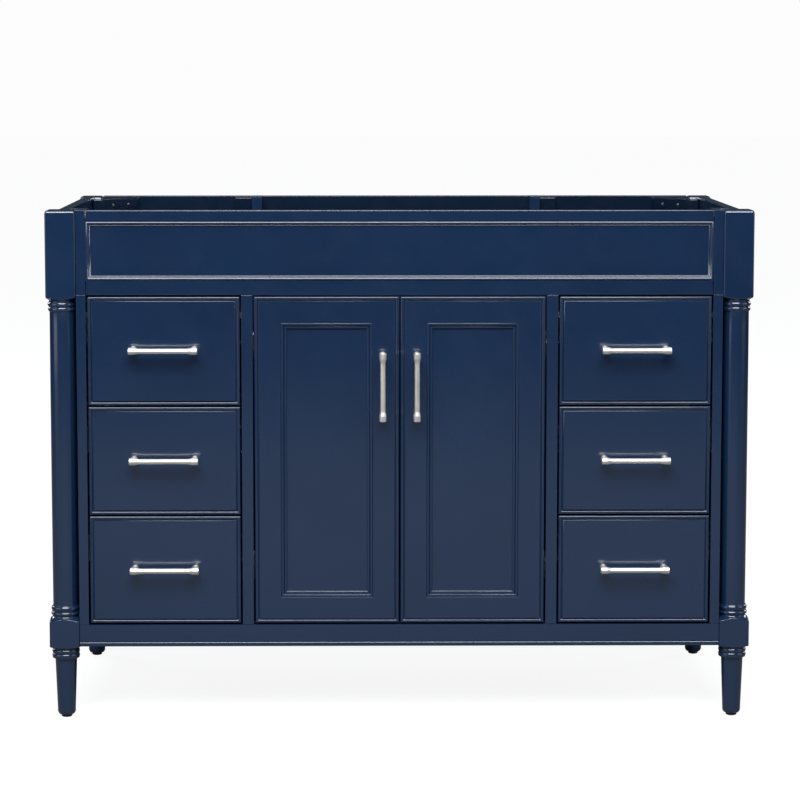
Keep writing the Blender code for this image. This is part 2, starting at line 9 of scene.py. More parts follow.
import bmesh
import bpy
import numpy as np
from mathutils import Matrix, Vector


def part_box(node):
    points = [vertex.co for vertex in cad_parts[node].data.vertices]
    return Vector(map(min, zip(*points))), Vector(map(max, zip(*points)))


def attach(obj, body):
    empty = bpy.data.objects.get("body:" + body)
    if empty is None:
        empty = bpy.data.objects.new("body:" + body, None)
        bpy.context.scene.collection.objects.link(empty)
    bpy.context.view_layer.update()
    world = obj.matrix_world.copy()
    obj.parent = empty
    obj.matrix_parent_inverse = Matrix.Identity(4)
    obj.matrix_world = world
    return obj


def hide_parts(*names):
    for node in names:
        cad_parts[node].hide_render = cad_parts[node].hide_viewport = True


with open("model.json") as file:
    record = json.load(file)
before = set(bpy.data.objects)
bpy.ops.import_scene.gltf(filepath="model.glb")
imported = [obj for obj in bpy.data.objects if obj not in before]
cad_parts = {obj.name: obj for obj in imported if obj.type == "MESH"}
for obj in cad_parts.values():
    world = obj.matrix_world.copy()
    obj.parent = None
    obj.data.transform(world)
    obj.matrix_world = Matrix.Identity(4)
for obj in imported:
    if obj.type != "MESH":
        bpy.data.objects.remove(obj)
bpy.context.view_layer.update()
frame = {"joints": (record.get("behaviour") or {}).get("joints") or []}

SIDES = (("left", -1.0), ("right", 1.0))


# ----------------------------------------------------------
# Studio. A wide pale matt floor, a large soft box high in front, a small one overhead and weak ones
# at the sides and behind, a dim surround, and a long lens a little above the cabinet.

FLOOR_RADIUS = 40.0


def floor_disc(radius):
    """Rings of a flat disc: radius grows by powers along the rows, and the turn runs round the columns."""
    reach = radius * np.linspace(0.02, 1.0, 24) ** 2
    turn = np.linspace(0, 2 * np.pi, 64, endpoint=False)
    x = reach[:, None] * np.cos(turn)
    y = reach[:, None] * np.sin(turn)
    return np.stack((x, y, np.full_like(x, -0.0002)), axis=-1)


def soft_box(name, place, aim, size, power, tint):
    """A rectangular area light at a place, facing its aim."""
    data = bpy.data.lights.new(name, "AREA")
    data.shape = "RECTANGLE"
    data.size, data.size_y = size
    data.energy = power
    data.color = tint
    light = bpy.data.objects.new(name, data)
    bpy.context.scene.collection.objects.link(light)
    light.location = place
    facing = np.subtract(aim, place)
    tilt = math.atan2(math.hypot(facing[0], facing[1]), -facing[2])
    light.rotation_euler = (tilt, 0.0, math.atan2(facing[1], facing[0]) - math.pi / 2)


def add_node(tree, kind, inputs=(), **settings):
    """A shader node with its settings. An input given as a socket is linked, and as a value is set."""
    node = tree.nodes.new(f"ShaderNode{kind}")
    for label, value in settings.items():
        setattr(node, label, value)
    for label, value in dict(inputs).items():
        if isinstance(value, bpy.types.NodeSocket):
            tree.links.new(value, node.inputs[label])
        else:
            node.inputs[label].default_value = value
    return node


def new_finish(name):
    """A material's node tree, its Principled shader and the material."""
    material = bpy.data.materials.new(name)
    material.use_nodes = True
    return material.node_tree, material.node_tree.nodes["Principled BSDF"], material


disc = floor_disc(FLOOR_RADIUS)
index = np.arange(disc.shape[0] * disc.shape[1]).reshape(disc.shape[:2])
around = np.roll(index, -1, axis=1)
floor_quads = np.stack((index[:-1], index[1:], around[1:], around[:-1]), axis=-1).reshape(-1, 4)
floor_mesh = bpy.data.meshes.new("floor")
floor_mesh.from_pydata(disc.reshape(-1, 3).tolist(), [], floor_quads.tolist() + [index[0].tolist()])
floor = bpy.data.objects.new("floor", floor_mesh)
bpy.context.scene.collection.objects.link(floor)

surround = bpy.data.worlds.new("surround")
surround.use_nodes = True
bpy.context.scene.world = surround
tree = surround.node_tree
seen = add_node(tree, "LightPath").outputs["Is Camera Ray"]
reflected_grey, seen_white = (0.040, 0.050, 0.055, 1.0), (0.98, 0.98, 0.98, 1.0)
choice = add_node(tree, "Mix", {"Factor": seen, "A": reflected_grey, "B": seen_white}, data_type="RGBA")
tree.links.new(choice.outputs["Result"], tree.nodes["Background"].inputs["Color"])

tree, floor_shader, floor_paint = new_finish("pale_floor")
floor_shader.inputs["Base Color"].default_value = (0.16, 0.165, 0.17, 1.0)
floor_shader.inputs["Roughness"].default_value = 0.95
floor_shader.inputs["Specular IOR Level"].default_value = 0.0
floor_shader.inputs["Emission Color"].default_value = (1.0, 1.0, 1.0, 1.0)
seen = add_node(tree, "LightPath").outputs["Is Camera Ray"]
place = add_node(tree, "TexCoord").outputs["Object"]
reach = add_node(tree, "VectorMath", {0: place}, operation="LENGTH").outputs["Value"]
near_to_far = {"From Min": 0.6, "From Max": 5.0, "To Min": 0.90, "To Max": 0.96}
lift = add_node(tree, "MapRange", {"Value": reach, **near_to_far}, interpolation_type="SMOOTHSTEP")
glow = add_node(tree, "Math", {0: lift.outputs["Result"], 1: seen}, operation="MULTIPLY")
tree.links.new(glow.outputs[0], floor_shader.inputs["Emission Strength"])
floor_mesh.materials.append(floor_paint)

soft_box("key_box", (-0.3, -3.4, 3.5), (0.0, 0.0, 0.5), (3.6, 2.2), 340.0, (0.97, 0.985, 1.0))
soft_box("overhead_box", (0.2, -0.9, 3.3), (0.0, -0.1, 0.4), (2.6, 1.2), 24.0, (0.98, 0.99, 1.0))
soft_box("left_box", (-3.5, -2.0, 1.3), (0.0, -0.2, 0.5), (2.2, 2.2), 20.0, (0.97, 0.985, 1.0))
soft_box("right_box", (3.6, -1.6, 1.5), (0.0, 0.0, 0.5), (2.2, 2.2), 20.0, (1.0, 0.99, 0.98))
soft_box("rear_left_box", (-3.6, 3.0, 1.9), (0.0, 0.2, 0.5), (1.8, 1.8), 50.0, (0.98, 0.99, 1.0))
soft_box("rear_right_box", (3.6, 3.0, 1.9), (0.0, 0.2, 0.5), (1.8, 1.8), 50.0, (0.98, 0.99, 1.0))

lens = bpy.data.cameras.new("camera")
lens.sensor_width = 36.0
lens.lens = 120.9
lens.shift_x = 0.02
lens.shift_y = -0.07
camera = bpy.data.objects.new("camera", lens)
bpy.context.scene.collection.objects.link(camera)
camera.location = (-0.074, -4.862, 1.133)
camera.rotation_euler = (math.radians(90.0 - 5.88), 0.0, math.radians(-0.58))
bpy.context.scene.camera = camera
bpy.context.scene.view_settings.view_transform = "Standard"


# ----------------------------------------------------------
# Front corner posts. Each is one turned length of hardwood: a square block left at the top and
# above the foot, bead pairs cut beside them, a plain round shaft and a tapered foot. It is
# sprayed with the navy lacquer of the whole case.

def node_group(name, inputs, outputs):
    """An empty shader node group with named number sockets: the group, its inputs and its outputs."""
    group = bpy.data.node_groups.new(name, "ShaderNodeTree")
    for label, value in inputs.items():
        socket = group.interface.new_socket(label, in_out="INPUT", socket_type="NodeSocketFloat")
        socket.default_value = value
    for label in outputs:
        group.interface.new_socket(label, in_out="OUTPUT", socket_type="NodeSocketFloat")
    return group, group.nodes.new("NodeGroupInput").outputs, group.nodes.new("NodeGroupOutput").inputs


def math_node(tree, operation, first, second, clamp=False):
    """The result of one sum on two sockets or numbers."""
    return add_node(tree, "Math", {0: first, 1: second}, operation=operation, use_clamp=clamp).outputs[0]


def mottle_group():
    """Cloudy variation: soft noise stretched along the grain attribute, spread between two values."""
    values = {"Scale": 8.0, "Stretch": 1.0, "Detail": 3.0, "Low": 0.0, "High": 1.0}
    group, start, end = node_group("mottle", values, ("Value", "Raw"))
    grain = add_node(group, "Attribute", attribute_name="grain").outputs["Vector"]
    split = add_node(group, "SeparateXYZ", {0: grain}).outputs
    along = math_node(group, "DIVIDE", split["X"], start["Stretch"])
    joined = add_node(group, "CombineXYZ", {"X": along, "Y": split["Y"], "Z": split["Z"]}).outputs[0]
    noise_inputs = {"Vector": joined, "Scale": start["Scale"], "Detail": start["Detail"]}
    noise = add_node(group, "TexNoise", noise_inputs).outputs["Fac"]
    limits = {"From Min": 0.3, "From Max": 0.7, "To Min": start["Low"], "To Max": start["High"]}
    spread = add_node(group, "MapRange", {"Value": noise, **limits})
    group.links.new(spread.outputs["Result"], end["Value"])
    group.links.new(noise, end["Raw"])
    return group


def edge_group():
    """Edge mask: one minus how far a rounded-over normal agrees with the true one, broken up by noise."""
    group, start, end = node_group("edge_mask", {"Radius": 0.001, "Gain": 3.0}, ("Mask",))
    rounded = add_node(group, "Bevel", {"Radius": start["Radius"]}, samples=4).outputs["Normal"]
    true = add_node(group, "NewGeometry").outputs["Normal"]
    agree = add_node(group, "VectorMath", {0: rounded, 1: true}, operation="DOT_PRODUCT").outputs["Value"]
    grain = add_node(group, "Attribute", attribute_name="grain").outputs["Vector"]
    noise = add_node(group, "TexNoise", {"Vector": grain, "Scale": 60.0}).outputs["Fac"]
    gained = math_node(group, "MULTIPLY", math_node(group, "SUBTRACT", 1.0, agree), start["Gain"])
    broken = math_node(group, "ADD", math_node(group, "MULTIPLY", noise, 0.3), 0.7)
    group.links.new(math_node(group, "MULTIPLY", gained, broken, clamp=True), end["Mask"])
    return group


MOTTLE = mottle_group()
EDGE = edge_group()


def placed(tree, group, **values):
    """The outputs of a node group placed in a material with its own values."""
    return add_node(tree, "Group", values, node_tree=group).outputs


def colour_mix(tree, factor, first, second):
    """A colour between two, by a factor socket. Each colour is a socket or linear RGB."""
    ends = [(*colour, 1.0) if isinstance(colour, tuple) else colour for colour in (first, second)]
    inputs = {"Factor": factor, "A": ends[0], "B": ends[1]}
    return add_node(tree, "Mix", inputs, data_type="RGBA").outputs["Result"]


def feed(tree, shader, colour, roughness, height, strength, distance):
    """Gives a shader its colour, its roughness and a normal raised by a height."""
    relief = add_node(tree, "Bump", {"Height": height, "Strength": strength, "Distance": distance})
    tree.links.new(colour, shader.inputs["Base Color"])
    tree.links.new(roughness, shader.inputs["Roughness"])
    tree.links.new(relief.outputs["Normal"], shader.inputs["Normal"])


def lacquer_finish(name, deep, pale, edge_wear_and_highlight):
    """Navy lacquer: cloudy body colour, paler edges that are partly rubbed wear and partly a painted
    highlight along bead crests and arrises, uneven satin and a fine orange peel.
    """
    tree, shader, material = new_finish(name)
    cloud = placed(tree, MOTTLE, Scale=5.0, Detail=4.0)["Value"]
    edge = placed(tree, EDGE, Radius=0.0010, Gain=0.6)["Mask"]
    satin = placed(tree, MOTTLE, Scale=22.0, Detail=3.0, Low=0.17, High=0.24)["Value"]
    peel = placed(tree, MOTTLE, Scale=650.0, Detail=1.0)["Raw"]
    # Towards the edges the colour moves to the paler edge colour: partly rubbed wear, partly a painted
    # highlight on the bead crests.
    edge_tinted = colour_mix(tree, edge, colour_mix(tree, cloud, deep, pale), edge_wear_and_highlight)
    feed(tree, shader, edge_tinted, satin, peel, 0.06, 0.0004)
    shader.inputs["Coat Weight"].default_value = 0.8
    shader.inputs["Coat Roughness"].default_value = 0.09
    return material


# The third colour is the paler edge colour: partly rubbed wear, partly painted highlight.
LACQUER = lacquer_finish("navy_lacquer", (0.0050, 0.0166, 0.0470), (0.0060, 0.0192, 0.0530),
                         (0.018, 0.045, 0.105))


def skin(points, closed_rows=False, grain_axis=2, shift=0.0):
    """One closed skin over a grid of points, rows by columns.

    Each four neighbours make a quad, and the columns join round. The rows join round as well, or
    end in flat caps. The grain attribute is the points turned so that the grain axis comes first,
    moved along by the shift, so that no two boards are cut from the same wood.
    """
    rows, columns = points.shape[:2]
    index = np.arange(rows * columns).reshape(rows, columns)
    across = np.roll(index, -1, axis=1)
    above, across_above = np.roll(index, -1, axis=0), np.roll(across, -1, axis=0)
    last = rows if closed_rows else rows - 1
    quads = np.stack((index, across, across_above, above), axis=-1)[:last].reshape(-1, 4)
    faces = [quads] if closed_rows else [quads, index[:1, ::-1], index[-1:]]
    flat = points.reshape(-1, 3)
    return flat, faces, np.roll(flat, -grain_axis, axis=1) + shift


def add_piece(name, skins, material, body, replaces=(), sharp_angle=38.0):
    """Joins skins into one smooth mesh with its faces outward, and rides it on a body."""
    points, face_sets, grain = zip(*skins)
    offsets = np.cumsum([0] + [len(part) for part in points])
    faces = [face for offset, face_set in zip(offsets, face_sets)
             for rows in face_set for face in (rows + offset).tolist()]
    mesh = bpy.data.meshes.new(name)
    mesh.from_pydata(np.concatenate(points).tolist(), [], faces)
    attribute = mesh.attributes.new("grain", "FLOAT_VECTOR", "POINT")
    attribute.data.foreach_set("vector", np.concatenate(grain).astype(np.float32).ravel())
    shell = bmesh.new()
    shell.from_mesh(mesh)
    bmesh.ops.recalc_face_normals(shell, faces=shell.faces)
    shell.to_mesh(mesh)
    shell.free()
    mesh.materials.append(material)
    mesh.shade_smooth()
    mesh.set_sharp_from_angle(angle=math.radians(sharp_angle))
    piece = bpy.data.objects.new(name, mesh)
    bpy.context.scene.collection.objects.link(piece)
    flatten = piece.modifiers.new("flat faces stay flat", "WEIGHTED_NORMAL")
    flatten.keep_sharp = True
    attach(piece, body)
    if replaces:
        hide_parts(*replaces)
    return piece


def mirrored(points, side):
    """Points drawn for the right-hand side, turned to the given side."""
    return points * np.array((side, 1.0, 1.0))


def bead(middle, half_height, crest, root, steps=12):
    """A turned bead as (z, radius): height goes as a cosine and radius as a sine over half a turn."""
    turn = np.linspace(0, np.pi, steps + 1)
    return np.stack((middle - half_height * np.cos(turn), root + (crest - root) * np.sin(turn)), axis=1)


def pommel(flat_z, end_z, neck, corner, steps=14):
    """A square's corners falling away to a neck, as (z, radius), on a lamb's-tongue S curve."""
    share = np.linspace(0, 1, steps + 1)
    fall = 0.5 - 0.5 * np.cos(np.pi * share)
    curve = np.stack((flat_z + (end_z - flat_z) * share, corner + (neck - corner) * fall), axis=1)
    return curve[np.argsort(curve[:, 0])]


def post_rings(profile, half, corner, columns=128):
    """Rings round a post's axis, as X, Y and Z about that axis.

    The reach at a turn is the smaller of the turned radius and the reach of a square with rounded
    corners, blended over half a millimetre. The square's half width is given for every row, and
    the columns crowd towards the corners.
    """
    spaced = np.linspace(0, 2 * np.pi, columns, endpoint=False)
    turn = spaced + 0.17 * np.sin(4 * spaced)
    fold = np.abs((turn + np.pi / 4) % (np.pi / 2) - np.pi / 4)
    z, radius = profile[:, 0, None], profile[:, 1, None]
    half = half[:, None]
    centre = (half - corner) * math.sqrt(2)
    off = fold - np.pi / 4
    under = np.maximum(corner ** 2 - (centre * np.sin(off)) ** 2, 0)
    arc = centre * np.cos(off) + np.sqrt(under)
    square = np.where(np.tan(fold) * half <= half - corner, half / np.cos(fold), arc)
    blend = 0.0005
    reach = 0.5 * (radius + square - np.sqrt((radius - square) ** 2 + blend ** 2))
    return np.stack((reach * np.cos(turn), reach * np.sin(turn), np.broadcast_to(z, reach.shape)), axis=-1)


POST_ARRIS = 0.0030
FOOT_TOP_R, FOOT_END_R, SOLE_R, SOLE_ROUNDING = 0.0189, 0.0157, 0.0092, 0.0075
NECK_INSIDE = 0.0036
BLOCK_LOW, BLOCK_HIGH = 0.1237, 0.1806
LOWER_POMMEL, UPPER_POMMEL, FOOT_POMMEL = 0.0110, 0.0075, 0.0060
TOP_ROUNDING = 0.0048
SHAFT_R, SHAFT_SWELL = 0.0215, 0.0003
UPPER_BLOCK = 0.1545


def foot_profile(half, sole_z):
    """Rounded sole, tapered foot and its bead pair, as (z, radius) going up to the block."""
    turn = np.linspace(0, np.pi / 2, 10)
    sole_radius = SOLE_R + (FOOT_END_R - SOLE_R) * np.sin(turn)
    sole = np.stack((sole_z + SOLE_ROUNDING * (1 - np.cos(turn)), sole_radius), axis=1)
    z = np.linspace(sole_z + 0.012, BLOCK_LOW - 0.0195, 12)
    taper = np.stack((z, np.interp(z, (z[0], z[-1]), (FOOT_END_R, FOOT_TOP_R))), axis=1)
    fillet = np.array([(-0.0187, 0.0004), (-0.0183, 0.0014)]) + (BLOCK_LOW, FOOT_TOP_R)
    lower = bead(BLOCK_LOW - 0.0138, 0.0042, half - 0.0020, half - NECK_INSIDE)
    upper = bead(BLOCK_LOW - 0.0056, 0.0036, half - 0.0020, half - NECK_INSIDE)
    return np.concatenate((sole, taper, fillet, lower, upper))


def top_rows(low, high, half, corner_r):
    """Straight block to its eased top: (z, radius) rows and their half widths."""
    turn = np.linspace(0, np.pi / 2, 8)
    z = np.concatenate(([low], high - TOP_ROUNDING + TOP_ROUNDING * np.sin(turn)))
    halves = np.concatenate(([half], half - TOP_ROUNDING * (1 - np.cos(turn))))
    return np.stack((z, np.full_like(z, corner_r)), axis=1), halves


def add_post(name, turned, half, height):
    """A post about its own axis: turned rows, then the top block, placed over its frame node."""
    top, top_half = top_rows(turned[-1, 0] + 0.002, height, half, half * 1.6)
    profile = np.concatenate((turned, top))
    halves = np.concatenate((np.full(len(turned), half), top_half))
    rings = post_rings(profile, halves, POST_ARRIS)
    low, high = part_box(name)
    rings[..., 0] += (low.x + high.x) / 2
    rings[..., 1] += (low.y + high.y) / 2
    add_piece(f"turned_{name}", [skin(rings)], LACQUER, "case", [name])


for side_name, side in SIDES:
    low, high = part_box(f"front_post_{side_name}")
    half = (high.x - low.x) / 2
    neck = half - NECK_INSIDE
    block_end = high.z - UPPER_BLOCK
    shaft_z = np.linspace(BLOCK_HIGH + 0.0190, block_end - 0.0215, 24)
    shaft_share = np.linspace(0, np.pi, 24)
    turned = np.concatenate((
        foot_profile(half, low.z),
        pommel(BLOCK_LOW + FOOT_POMMEL, BLOCK_LOW - 0.0005, neck, half * 1.46),
        pommel(BLOCK_HIGH - LOWER_POMMEL, BLOCK_HIGH, neck, half * 1.46),
        bead(BLOCK_HIGH + 0.0048, 0.0034, half - 0.0010, neck),
        bead(BLOCK_HIGH + 0.0135, 0.0042, half - 0.0014, neck),
        np.stack((shaft_z, SHAFT_R + SHAFT_SWELL * np.sin(shaft_share)), axis=1),
        bead(block_end - 0.0165, 0.0036, half - 0.0019, neck),
        bead(block_end - 0.0080, 0.0038, half - 0.0012, neck),
        pommel(block_end + UPPER_POMMEL, block_end - 0.0020, neck, half * 1.46),
    ))
    add_post(f"front_post_{side_name}", turned, half, high.z)


# ----------------------------------------------------------
# Rear corner posts. Thinner square posts of the same wood on the same turned foot, set in from
# the front posts' outer faces, glued to the side and back panels.

for side_name, side in SIDES:
    low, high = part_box(f"rear_post_{side_name}")
    half = (high.x - low.x) / 2
    turned = np.concatenate((
        foot_profile(half, low.z),
        pommel(BLOCK_LOW + FOOT_POMMEL, BLOCK_LOW - 0.0005, half - NECK_INSIDE, half * 1.46),
    ))
    add_post(f"rear_post_{side_name}", turned, half, high.z)


# ----------------------------------------------------------
# Glides. A dark nylon button pressed into the end of each foot, domed underneath, with a moulded
# rim where it meets the wood.

def nylon_finish():
    """Moulded nylon: near black, with a dull uneven surface."""
    tree, shader, material = new_finish("glide_nylon")
    cloud = placed(tree, MOTTLE, Scale=90.0, Detail=4.0)["Value"]
    scuff = placed(tree, MOTTLE, Scale=260.0, Detail=2.0, Low=0.42, High=0.62)
    body = colour_mix(tree, cloud, (0.018, 0.018, 0.019), (0.032, 0.032, 0.034))
    feed(tree, shader, body, scuff["Value"], scuff["Raw"], 0.15, 0.0002)
    return material


def turned_rings(profile, axis, centre, columns=32):
    """Rings about an axis (0, 1 or 2 for X, Y or Z): each row stands at its place along the axis,
    at its own radius, from a centre."""
    turn = np.linspace(0, 2 * np.pi, columns, endpoint=False)
    along, radius = profile[:, 0, None], profile[:, 1, None]
    rings = np.stack((np.broadcast_to(along, (len(profile), columns)),
                      radius * np.cos(turn), radius * np.sin(turn)), axis=-1)
    return np.roll(rings, axis, axis=-1) + np.asarray(centre, float)


NYLON = nylon_finish()
dome = np.linspace(0, np.pi / 2, 9)
for end_name in ("front", "rear"):
    for side_name, side in SIDES:
        name = f"glide_{end_name}_{side_name}"
        low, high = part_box(name)
        radius, height = (high.x - low.x) / 2, high.z - low.z
        rows = np.stack((0.0024 * (1 - np.cos(dome)), 0.62 * radius + 0.38 * radius * np.sin(dome)), axis=1)
        rim = np.array([(0.0030, radius), (0.0032, radius * 0.94), (height, radius * 0.94)])
        centre = ((low.x + high.x) / 2, (low.y + high.y) / 2, low.z)
        rings = turned_rings(np.concatenate((rows, rim)), 2, centre)
        add_piece(f"moulded_{name}", [skin(rings)], NYLON, "case", [name])


# ----------------------------------------------------------
# Case boards. Side panels, back panel, bottom deck and the two partitions, all lacquered board
# with sanded edges, dowelled and glued into the posts.

def rounded_outline(corners, radius, steps=4):
    """A polygon's corners turned into arcs, with the outward normal at each point.

    An arc is tangent to both its edges: its centre lies back from the corner along the two edge
    normals' sum over one plus their dot product, and its direction sweeps the turn between them.
    """
    corners = np.asarray(corners, float)
    following = np.roll(corners, -1, axis=0)
    if np.sum(corners[:, 0] * following[:, 1] - following[:, 0] * corners[:, 1]) < 0:
        corners = corners[::-1]
        radius = radius[::-1] if np.ndim(radius) else radius
    out = np.roll(corners, -1, axis=0) - corners
    out /= np.linalg.norm(out, axis=1)[:, None]
    into = np.roll(out, 1, axis=0)
    turn = np.arctan2(into[:, 0] * out[:, 1] - into[:, 1] * out[:, 0], np.sum(into * out, axis=1))
    normal_in = np.stack((into[:, 1], -into[:, 0]), axis=1)
    normal_out = np.stack((out[:, 1], -out[:, 0]), axis=1)
    reach = np.broadcast_to(radius, len(corners)) * np.sign(turn)
    bisector = (normal_in + normal_out) / (1 + np.sum(normal_in * normal_out, axis=1))[:, None]
    centre = corners - reach[:, None] * bisector
    first_angle = np.arctan2(normal_in[:, 1], normal_in[:, 0])[:, None]
    sweep = first_angle + turn[:, None] * np.linspace(0, 1, steps + 1)
    normals = np.stack((np.cos(sweep), np.sin(sweep)), axis=-1)
    points = centre[:, None, :] + reach[:, None, None] * normals
    return points.reshape(-1, 2), normals.reshape(-1, 2)


def lifted(rows, level, axis):
    """Rows of outlines in a plane, each set at its level along the axis across that plane."""
    heights = np.broadcast_to(level[:, None, None], (*rows.shape[:2], 1))
    return np.concatenate((rows[..., :axis], heights, rows[..., axis:]), axis=-1)


def eased_board(corners, start, end, axis, ease=0.0010, rounding=None, end_ease=None, steps=4):
    """An outline carried straight along an axis, with every edge eased.

    Rows run along the axis. At each end the outline is drawn in along its normals by one minus a
    sine while its level moves by one minus a cosine, which makes a quarter round.
    """
    rounding = 1.3 * ease if rounding is None else rounding
    points, normals = rounded_outline(corners, rounding, steps)
    start, end = sorted((start, end))
    end_ease = ease if end_ease is None else end_ease
    turn = np.linspace(0, np.pi / 2, steps + 1)
    inset = np.concatenate((ease * (1 - np.sin(turn)), end_ease * (1 - np.sin(turn[::-1]))))
    level = np.concatenate((start + ease * (1 - np.cos(turn)), end - end_ease * (1 - np.cos(turn[::-1]))))
    rows = points[None] - normals[None] * inset[:, None, None]
    return lifted(rows, level, axis)


def board(low, high, axis, **edges):
    """A rectangular board from one corner to the other, carried along an axis with its edges eased."""
    (a0, b0), (a1, b1) = (np.delete(np.array(corner), axis) for corner in (low, high))
    return eased_board([(a0, b0), (a1, b0), (a1, b1), (a0, b1)], low[axis], high[axis], axis, **edges)


for side_name, side in SIDES:
    node = f"side_panel_{side_name}"
    add_piece(f"side_board_{side_name}", [skin(board(*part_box(node), 2))], LACQUER, "case", [node])


# A darker copy of the navy lacquer for the back board, the corner braces and the cleats. Its deeper colours
# are painted shade for the shadowed inside of the case.
SHADED_LACQUER = lacquer_finish("navy_painted_shade", (0.0022, 0.0075, 0.0200), (0.0028, 0.0092, 0.0240),
                           (0.008, 0.020, 0.045))
back = skin(board(*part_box("back_panel"), 1), grain_axis=0)
add_piece("back_board", [back], SHADED_LACQUER, "case", ["back_panel"])

low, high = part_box("bottom_deck")
stile_low, stile_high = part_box("face_stile_right")
rear_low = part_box("rear_post_right")[0]
FIT = 0.0003
notch_x = stile_low.x - FIT
side_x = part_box("side_panel_right")[0].x - FIT
half_deck = [
    (notch_x, low.y),
    (notch_x, stile_high.y + FIT),
    (side_x, stile_high.y + FIT),
    (side_x, rear_low.y - FIT),
    (rear_low.x - FIT, rear_low.y - FIT),
    (rear_low.x - FIT, high.y),
]
deck_outline = half_deck + [(-x, y) for x, y in reversed(half_deck)]
deck = eased_board(deck_outline, low.z, high.z, 2)
add_piece("deck_board", [skin(deck)], LACQUER, "case", ["bottom_deck"])

apron_low, apron_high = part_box("apron_board")
UPRIGHT_DEPTH = 0.040
for side_name, side in SIDES:
    node = f"partition_{side_name}"
    low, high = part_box(node)
    shoulder = apron_low.z - FIT
    outline = [
        (low.y, low.z), (high.y, low.z), (high.y, high.z),
        (high.y - UPRIGHT_DEPTH, high.z), (high.y - UPRIGHT_DEPTH, shoulder), (low.y, shoulder),
    ]
    wall = skin(eased_board(outline, low.x, high.x, 0, ease=0.0005))
    add_piece(f"partition_board_{side_name}", [wall], LACQUER, "case", [node])


# ----------------------------------------------------------
# Corner braces, cleats and their screws. Hardwood blocks screwed across the rear corners just
# under the open top, and a small cleat beside each partition's upright that holds it to the back.

def metal_finish(name, colours, spangle, satin, edge, strength, distance):
    """Bare or plated metal: a faint spangle between two colours, uneven satin, and a third, brighter
    colour where edges are rubbed. Spangle, satin and edge are the placed groups' values."""
    tree, shader, material = new_finish(name)
    body = colour_mix(tree, placed(tree, MOTTLE, **spangle)["Value"], colours[0], colours[1])
    edge_tinted = colour_mix(tree, placed(tree, EDGE, **edge)["Mask"], body, colours[2])
    satin_out = placed(tree, MOTTLE, **satin)
    feed(tree, shader, edge_tinted, satin_out["Value"], satin_out["Raw"], strength, distance)
    shader.inputs["Metallic"].default_value = 1.0
    return material


def plated_finish(name, *colours):
    """Plated steel: a fine spangle and a drawn satin."""
    satin = {"Scale": 420.0, "Detail": 2.0, "Stretch": 6.0, "Low": 0.34, "High": 0.50}
    edge = {"Radius": 0.0006, "Gain": 2.0}
    return metal_finish(name, colours, {"Scale": 160.0, "Detail": 4.0}, satin, edge, 0.08, 0.0002)


def screw_head(centre, facing, radius, proud=0.0012, rows=9, columns=24):
    """A domed screw head with a cross recess.

    Rows run from the rim to the middle and columns round it. The height is a dome, less a recess
    wherever the point lies inside either arm of the cross. Facing is the axis and its sign.
    """
    share = np.concatenate(([1.0, 1.0], np.linspace(0.96, 0.04, rows)))
    turn = np.linspace(0, 2 * np.pi, columns, endpoint=False)
    across = share[:, None] * np.cos(turn)
    up = share[:, None] * np.sin(turn)
    dome_height = proud * (1 - share[:, None] ** 2) * 0.6 + proud * 0.4
    arm_half, arm_end = 0.13, 0.55
    in_cross = (np.minimum(np.abs(across), np.abs(up)) < arm_half) & (share[:, None] < arm_end)
    height = np.where(in_cross, dome_height - 0.9 * proud, dome_height)
    height[0] = -0.0008
    height[1] = proud * 0.15
    axis, sign = facing
    local = np.stack((sign * height, radius * across, radius * up), axis=-1)
    return np.roll(local, axis, axis=-1) + np.asarray(centre, float)


def reach_x(node):
    """How far a node's near and far faces stand from the cabinet's middle plane."""
    low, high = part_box(node)
    return sorted((abs(low.x), abs(high.x)))


